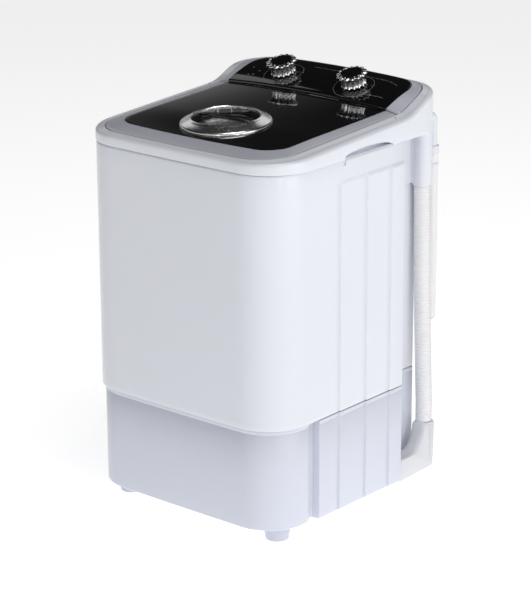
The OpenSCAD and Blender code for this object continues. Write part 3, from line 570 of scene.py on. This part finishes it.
rows = [shell_row(171, wall), shell_row(170, 0.7), shell_row(170.2, 0.2), shell_row(170.7)]
rows += [shell_row(z) for z in (178, 230, 300, 380, 450, 489)]
rows += [shell_row(z, ribs=1 - smooth((z - 490) / 7)) for z in (490, 492, 493.5, 495, 497)]
rows += [shell_row(z, inset, 0) for z, inset in ((519.6, 0), (521.2, 0.35), (522.3, 1.2),
                                                 (522.5, wall), (400, wall))]
cabinet = piece("cabinet_body", skinned(rows, round_rows=True), "shell_white", "cabinet",
                ["cabinet_shell"])
for side in (-1, 1):
    cut(cabinet, extruded([(-48, 514.6), (-42.5, 514.6), (-42.5, 530), (-48, 530)],
                          side * 174.2, side * 184))

rows = [skirt_row(z, inset) for z, inset in (
    (24, 2.6), (24.3, 1.2), (25.2, 0.3), (27, 0), (100, 0), (162.4, 0), (162.9, 0.35),
    (163.6, 0.35), (164.1, 0), (167.6, 0), (168.6, 0.4), (169, wall), (28, wall))]
base = piece("base_skirt", skinned(rows), "base_lilac", "cabinet", ["base_shell"])
cut(base, extruded([(150, 52), (180, 52), (180, 142), (150, 142)], -78, 78))

# ---- top cover ----

cover_edge = plan(180, -190, 192, 68, 68, bow=2)
cover_well = plan(162, -178.5, 179, 50, 50, bow=6)
seam = 523.2


def rim_row(s, drop, z=None):
    """A row round the cover's rim: s is 0 at its outside and 1 at its well."""
    return [(px, py, rim_height(py) - drop if z is None else z)
            for px, py in mix(cover_edge, cover_well, s)]


rows = [rim_row(s, 0, seam + rise) for s, rise in ((1, 0), (0.06, 0), (0.015, 0.3), (0, 1.2),
                                                   (0, 6))]
for i in range(9):
    a = QUARTER * i / 8
    rows.append(rim_row(0.42 * (1 - math.cos(a)), 8.2 - 5.4 * math.sin(a)))
rows += [rim_row(s, drop) for s, drop in ((0.6, 1.9), (0.8, 0.85), (0.93, 0.2), (0.965, 0.15),
                                          (0.99, 0.45), (1, 1.2), (1, 14))]
collar = piece("top_cover_collar", skinned(rows, round_rows=True), "shell_white", "cabinet",
               ["top_cover"])
grip_lip = [(-49, 520), (-49, 524.8), (57.5, 524.8), (57.5, 520)]
grip = [(-49, 524.2), (-49, 527.2), (-45, 529.5), (-36, 531), (-18, 532.7), (3, 533.5),
        (26, 532.2), (44, 529.6), (57, 525), (57.5, 524.2)]
for side in (-1, 1):
    cut(collar, extruded(grip, side * 165, side * 186))
    cut(collar, extruded(grip_lip, side * 176.2, side * 186))

deck_edge = plan(163.5, -177, 66, 50, 0.5, bow=6)
mouth_y, mouth_r = -48, 112


def deck_row(outline, h):
    return [(px, py, lid_plane(py, h)) for px, py in outline]


neck, neck_back, neck_lip = (round_hole(deck_edge, mouth_y, mouth_r + extra) for extra in (0, 3, 4))
rows = [deck_row(deck_edge, -4), deck_row(deck_edge, -1.5)]
rows += [deck_row(mix(deck_edge, neck_lip, s), -1.5) for s in (0.3, 0.6, 0.9, 1.0)]
rows += [deck_row(mix(neck_lip, neck, 0.4), -1.7), deck_row(mix(neck_lip, neck, 0.8), -2.4),
         deck_row(neck, -3.8), raised(neck, 519.6), raised(neck_back, 519.2),
         deck_row(neck_back, -4.2)]
piece("loading_deck", skinned(rows, round_rows=True), "shell_white", "cabinet")

trough = rounded([(65.8, 551), (65.8, 546), (70, 541.6), (78, 539.6), (86, 540.8), (91.4, 546),
                  (92.4, 553), (91.6, 560)], 3)
inside = [(y - 0.2, z) for y, z in trough]
below = [(y + (2.2 if y > 80 else -2.2 if y < 68 else 0), z - (0 if z > 550 else 2.2))
         for y, z in reversed(trough)]
piece("hinge_trough", skinned(extruded(inside + below, -162, 162)), "shell_white", "cabinet")

# ---- lid ----

# Across a border: the share of the way in, the share of the way up (or a fall), and a drop.
border_top = [(0.0, -0.9, 0), (0.012, -0.3, 0), (0.04, 0.0, 0), (0.2, 0.17, 0), (0.4, 0.38, 0),
              (0.6, 0.60, 0), (0.8, 0.81, 0), (0.94, 0.95, 0), (0.985, 0.97, 0), (1.0, 0.93, 0)]


def border(outer, inner, low_at, high_at, profile):
    """Sections across a border that rises from its outer towards its inner outline."""
    columns = []
    for s, h, drop in profile:
        column = []
        for px, py in mix(outer, inner, s):
            low, high = low_at(px, py), high_at(px, py)
            column.append((px, py, (low + (high - low) * h if h > 0 else low + h) - drop))
        columns.append(column)
    return [list(section) for section in zip(*columns)]


sections = border(u_path(160.4, 9, -254, 48.6, bow=6), u_path(black_x, 9, -225.5, 33, bow=9),
                  lambda x, y: lid_edge, lid_level,
                  [(0.0, -3.3, 0), *border_top, (1.0, 0.93, 3.5), (0.15, -1.5, 0)])
piece("lid_border", skinned(moved(sections, lid_matrix)), "trim_grey", "lid", ["lid_frame"])

ring_y, ring_top, cup_r, ring_r = -158, 10.6, 46.5, 63.5
panel_middle = -108
panel_edge = plan(black_x - 0.25, -225.3, 8.2, 33, 0.5, bow=9, counts=(24, 14, 40, 3, 24))
cup_edge = round_hole(panel_edge, ring_y, cup_r + 2)


def panel_row(s, drop, inset=0.0):
    """A row of the black panel: s is 0 at its edge and 1 at the finger cup."""
    row = []
    for (px, py) in mix(panel_edge, cup_edge, s):
        shrink = 1 - inset / black_x
        px, py = px * shrink, (py - panel_middle) * shrink + panel_middle
        row.append((px, py, lid_level(px, py) - drop))
    return row


rows = [panel_row(0, 3), panel_row(0, 0.5), panel_row(0, 0.15, 0.25), panel_row(0, 0, 0.8)]
rows += [panel_row(i / 16, 0) for i in range(1, 17)] + [panel_row(1, 3)]
piece("lid_black_panel", skinned(moved(rows, lid_matrix), round_rows=True), "gloss_black", "lid",
      ["lid_panel"])

ring_matrix = lid_matrix @ Matrix.Translation((0, ring_y, 0))
ring_profile = rounded([(cup_r + 0.3, ring_top - 2.5), (ring_r, ring_top - 2.5),
                        (ring_r - 0.1, ring_top - 0.2), (ring_r - 1.2, ring_top + 1.6),
                        (ring_r - 6, ring_top + 4.1), (ring_r - 11, ring_top + 6.6),
                        (cup_r + 2.2, ring_top + 8.9), (cup_r + 0.8, ring_top + 7.6),
                        (cup_r + 0.3, ring_top - 2.5)], 0.7)
piece("lid_chrome_ring", skinned(moved(turned(ring_profile, 128), ring_matrix)), "chrome_plate",
      "lid", ["lid_ring"], "chrome_satin")

cup_profile = rounded([(0.5, -6.5), (cup_r - 10, -6.5), (cup_r + 1, 4), (cup_r + 1.8, ring_top + 4),
                       (cup_r + 0.1, ring_top + 4.6), (cup_r - 1.4, 5), (cup_r - 12, -4),
                       (0.5, -4.6)], 6, 5)
cup = skinned(moved(turned(cup_profile, 96), ring_matrix))
plate_r, plate_y = 45.6, 30
plate = [(-43, 12), (-44.6, 16)]
plate += [(plate_r * math.cos(a), plate_r * math.sin(a))
          for a in (math.radians(158 - 136 * i / 26) for i in range(27))]
plate += [(44.6, 16), (43, 12)]
plate += [(43 - 86 * i / 12, 12 + 9 * math.sin(math.pi * i / 12)) for i in range(1, 12)]
rows = [[(px * shrink, plate_y + (py - plate_y) * shrink, z) for px, py in plate]
        for shrink, z in ((0.3, 5.8), (0.97, 5.8), (1, 6.3), (1, 9.0), (0.985, 9.7), (0.95, 10.1),
                          (0.7, 10.7), (0.3, 11.0))]
skin(cup, moved(rows, ring_matrix))
piece("lid_finger_bowl", cup, "gloss_black", "lid", ["lid_finger_cup"])

# ---- control panel ----

panel_front = 88.2
sections = border(u_path(160.6, panel_front, 177.6, 48.8), u_path(black_x, panel_front, 168, 32),
                  lambda x, y: rim_height(y) + 0.2, lambda x, y: fascia_height(x, y) - 0.2,
                  [(0, -8, 0), *border_top, (1.0, 0.93, 5), (0.3, -8, 0)])
piece("panel_border", skinned(sections), "trim_grey", "cabinet", ["panel_frame"])

fascia_edge = plan(black_x - 0.25, panel_front, 167.8, 0.8, 31.8, counts=(30, 3, 20, 16, 24))
spine_x, spine_y = 110, 126


def fascia_row(scale, drop):
    """The fascia's outline, shrunk towards a spine along its middle."""
    row = []
    for px, py in fascia_edge:
        spine = min(max(px, -spine_x), spine_x)
        px, py = spine + (px - spine) * scale, spine_y + (py - spine_y) * scale
        row.append((px, py, fascia_height(px, py) - drop))
    return row


rows = [fascia_row(scale, drop) for scale, drop in (
    (0.02, 4.4), (0.5, 4.4), (1, 4.4), (1, 1.4), (0.994, 0.6), (0.98, 0.16), (0.955, 0))]
rows += [fascia_row(0.955 * (1 - i / 12) + 0.02 * i / 12, 0) for i in range(1, 13)]
piece("panel_black_fascia", skinned(rows), "gloss_black", "cabinet", ["panel_fascia"])

# ---- knobs ----

knob_x, knob_y, knob_tilt = 63.5, 118.2, math.radians(17.4)
lobes, crown_r, cap_r = 14, 22.3, 15.8


def flutes(angle, radius, height):
    """The knob's radius between and on its lobes; the crown's inner edge stays round."""
    depth = 0.2 - 0.06 * smooth((height - 12) / 6)
    if radius < cap_r + 1.6:
        depth *= smooth((radius - cap_r - 0.3) / 1.3)
    return radius * (1 - depth * (0.5 - 0.5 * math.cos(lobes * angle)) ** 1.2)


knob_profile = rounded([(0.5, 0.6), (18.2, 0.6), (18.6, 1.6), (17.6, 4.0), (17.0, 8.0),
                        (18.0, 12.5), (20.8, 15.2), (crown_r, 17.0), (21.7, 18.6),
                        (19.2, 19.6), (cap_r + 1.5, 20.0), (cap_r + 0.4, 19.9),
                        (cap_r + 0.1, 17.2), (0.5, 17.2)], 1.2, 3)
cap_profile = rounded([(0.5, 17.3), (cap_r - 0.1, 17.3), (cap_r - 0.1, 19.2), (cap_r - 1.0, 19.7),
                       (8, 20.1), (0.5, 20.3)], 0.8)
pointer = [raised([(-0.5, 9), (0.5, 9), (0.5, 14.2), (-0.5, 14.2)], z) for z in (19.3, 20.05)]


def knob(side, name, body):
    place = Matrix.Translation((side * knob_x, knob_y, arc_height(knob_y, fascia_r)))
    place = place @ Matrix.Rotation(knob_tilt, 4, "X")
    grip_mesh = skinned(moved(turned(knob_profile, lobes * 14, flutes), place))
    piece(f"{name}_fluted_knob", grip_mesh, "chrome_plate", body, [f"{name}_knob"])
    cap = skinned(moved(turned(cap_profile, 64), place))
    skin(cap, moved(pointer, place))
    piece(f"{name}_black_cap", cap, "gloss_black", body, [f"{name}_knob_cap"])


knob(-1, "timer", "timer_dial")
knob(1, "selector", "selector_dial")

# ---- printed marks and a grey line ----

marks = bmesh.new()


def mark(points, width):
    """A thin line on the fascia through points given as x and y."""
    sections = []
    for i, (px, py) in enumerate(points):
        qx, qy = points[min(i + 1, len(points) - 1)]
        rx, ry = points[max(i - 1, 0)]
        length = math.hypot(qx - rx, qy - ry)
        nx, ny = -(qy - ry) / length * width / 2, (qx - rx) / length * width / 2
        sections.append([(x, y, fascia_height(x, y) + lift) for x, y, lift in (
            (px - nx, py - ny, -0.2), (px + nx, py + ny, -0.2),
            (px + nx, py + ny, 0.05), (px - nx, py - ny, 0.05))])
    skin(marks, sections)


for side in (-1, 1):
    mark([(side * knob_x + 29.3 * math.cos(a), knob_y + 28 * math.sin(a))
          for a in (2 * math.pi * i / 72 for i in range(73))], 0.4)
for x, y in ((-118, 104), (-110, 105), (-124, 124), (-106, 115)):
    mark([(x - 1.6, y), (x + 1.6, y)], 1.2)
mark([(96, 103), (103, 104.4), (112, 105.2), (124, 105.2)], 0.5)
# A thin grey line inset from the fascia's rear edge, turning down towards its right end.
mark([(-30 + 12 * i, 148) for i in range(12)] + [(108, 146), (116, 143.6), (122, 140.4)], 0.5)
piece("panel_printed_marks", marks, "trim_grey", "cabinet", finish_name="print_grey")

# ---- feet ----

foot_profile = rounded([(0.5, 0), (15.4, 0), (16.8, 1.2), (17.4, 9), (18.1, 9.6), (18.3, 24.2),
                        (0.5, 24.2)], 1.2)
for node in ("foot_front_left", "foot_front_right", "foot_rear_left", "foot_rear_right"):
    low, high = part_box(node)
    x, y = (low.x + high.x) / 2 / MM, (low.y + high.y) / 2 / MM
    piece(f"{node}_pad", skinned(shifted(turned(foot_profile, 64), x, y)), "foot_plastic",
          "cabinet", [node])

# ---- hose holder ----

sleeve_profile = rounded([(12.3, 443), (13.4, 443), (13.4, 523), (12.3, 523)], 0.5)
holder = skinned(shifted(turned(sleeve_profile, 64), sleeve_x, sleeve_y), round_rows=True)
web = [(142.2, 118), (144.7, 118), (144.7, 143.5), (149.5, 145), (148.5, 149), (142.2, 149.5)]
skin(holder, [raised(web, z) for z in (446, 446.6, 522.4, 523)])
piece("hose_sleeve", holder, "shell_white", "cabinet", ["hose_holder"])

# ---- inlet elbow ----

pipe_y, pipe_z, pipe_r, bend_r = 188, 533, 7.5, 11
pipe_route = [Vector((inlet_x, 182, pipe_z)), Vector((inlet_x, pipe_y, pipe_z))]
for i in range(1, 9):
    a = QUARTER * i / 8
    pipe_route.append(Vector((inlet_x, pipe_y + bend_r * math.sin(a),
                              pipe_z - bend_r + bend_r * math.cos(a))))
pipe_route.append(Vector((inlet_x, nut_y, 489)))
pipe_line, _ = curve_through(pipe_route, 1.5)
inlet = skinned(tube_rows(pipe_line, lambda i: pipe_r, 40))
nut_profile = rounded([(0.5, nut_z), (9.8, nut_z), (10.3, 477.8), (10.3, 488.2), (9.8, 489),
                       (0.5, 489)], 0.6)
skin(inlet, shifted(turned(nut_profile, 48), inlet_x, nut_y))
band_profile = rounded([(9.05, 460), (10, 460.6), (10, 463.6), (9.05, 464.2)], 0.5)
skin(inlet, shifted(turned(band_profile, 48), inlet_x, nut_y), round_rows=True)
inlet_bend = piece("inlet_bend", inlet, "shell_white", "cabinet", ["inlet_elbow"])

# ---- floor ----

floor_mesh = bmesh.new()
bmesh.ops.create_grid(floor_mesh, x_segments=8, y_segments=8, size=12)
floor = linked("floor", floor_mesh)
floor_look = Graph("pale_floor")
floor_look.colours(floor_look.noise(2), (0.88, 0.88, 0.89), (0.9, 0.9, 0.91))
floor_look.shader.inputs["Roughness"].default_value = 0.8
floor_look.shader.inputs["Emission Color"].default_value = (1, 1, 1, 1)
floor_look.shader.inputs["Emission Strength"].default_value = 0.75
floor.data.materials.append(floor_look.material)

# ---- studio light ----

world = bpy.data.worlds.new("studio")
bpy.context.scene.world = world
world.use_nodes = True
nodes, links = world.node_tree.nodes, world.node_tree.links


def remap(value, from_min, from_max, to_min, to_max):
    node = nodes.new("ShaderNodeMapRange")
    node.interpolation_type = "SMOOTHSTEP"
    for name, number in (("From Min", from_min), ("From Max", from_max), ("To Min", to_min),
                         ("To Max", to_max)):
        node.inputs[name].default_value = number
    links.new(value, node.inputs["Value"])
    return node.outputs["Result"]


def total(first, second):
    node = nodes.new("ShaderNodeMath")
    links.new(first, node.inputs[0])
    links.new(second, node.inputs[1])
    return node.outputs["Value"]


# The surroundings are lighter towards the front right and near the horizon, and plain white as seen.
direction = nodes.new("ShaderNodeTexCoord").outputs["Generated"]
facing = nodes.new("ShaderNodeVectorMath")
facing.operation = "DOT_PRODUCT"
facing.inputs[1].default_value = (0.75, -0.62, -0.2)
links.new(direction, facing.inputs[0])
height = nodes.new("ShaderNodeSeparateXYZ")
links.new(direction, height.inputs["Vector"])
side_light = remap(facing.outputs["Value"], 0.1, 1.0, 0.0, 0.45)
horizon = remap(height.outputs["Z"], 0.16, 0.36, 0.34, 0.02)
seen = nodes.new("ShaderNodeMix")
seen.data_type = "FLOAT"
links.new(nodes.new("ShaderNodeLightPath").outputs["Is Camera Ray"], seen.inputs["Factor"])
links.new(total(side_light, horizon), seen.inputs["A"])
seen.inputs["B"].default_value = 1.0
background = nodes["Background"]
background.inputs["Color"].default_value = (1, 1, 1, 1)
links.new(seen.outputs["Result"], background.inputs["Strength"])


def area(name, place, target, size, power, colour=(1, 1, 1)):
    """A rectangular lamp at a place that shines towards a target."""
    light = bpy.data.lights.new(name, "AREA")
    light.shape = "RECTANGLE"
    light.size, light.size_y = size
    light.energy = power
    light.color = colour
    lamp = bpy.data.objects.new(name, light)
    lamp.location = place
    lamp.rotation_euler = (Vector(target) - Vector(place)).to_track_quat("-Z", "Y").to_euler()
    bpy.context.scene.collection.objects.link(lamp)


area("key_right", (2.6, 0.2, 0.9), (0, 0, 0.3), (1.6, 2.2), 16)
area("fill_front", (-0.6, -3.0, 1.2), (0, 0, 0.3), (1.6, 2.0), 1.2, (0.96, 0.98, 1.0))
area("overhead", (0.7, -0.35, 2.4), (0, 0, 0.5), (1.2, 1.2), 15)
area("strip_right", (2.2, -1.0, 0.75), (0, 0, 0.5), (0.2, 1.2), 3)
area("strip_camera", (1.0, -2.7, 0.9), (0, 0, 0.5), (0.12, 0.7), 1.6)
area("ring_left", (-1.9, 0.8, 1.85), (0, -0.15, 0.55), (0.65, 1.2), 1.6)
area("ring_right", (-0.6, 1.9, 1.85), (0, -0.15, 0.55), (0.65, 1.2), 1.6)
bpy.context.scene.view_settings.view_transform = "Standard"
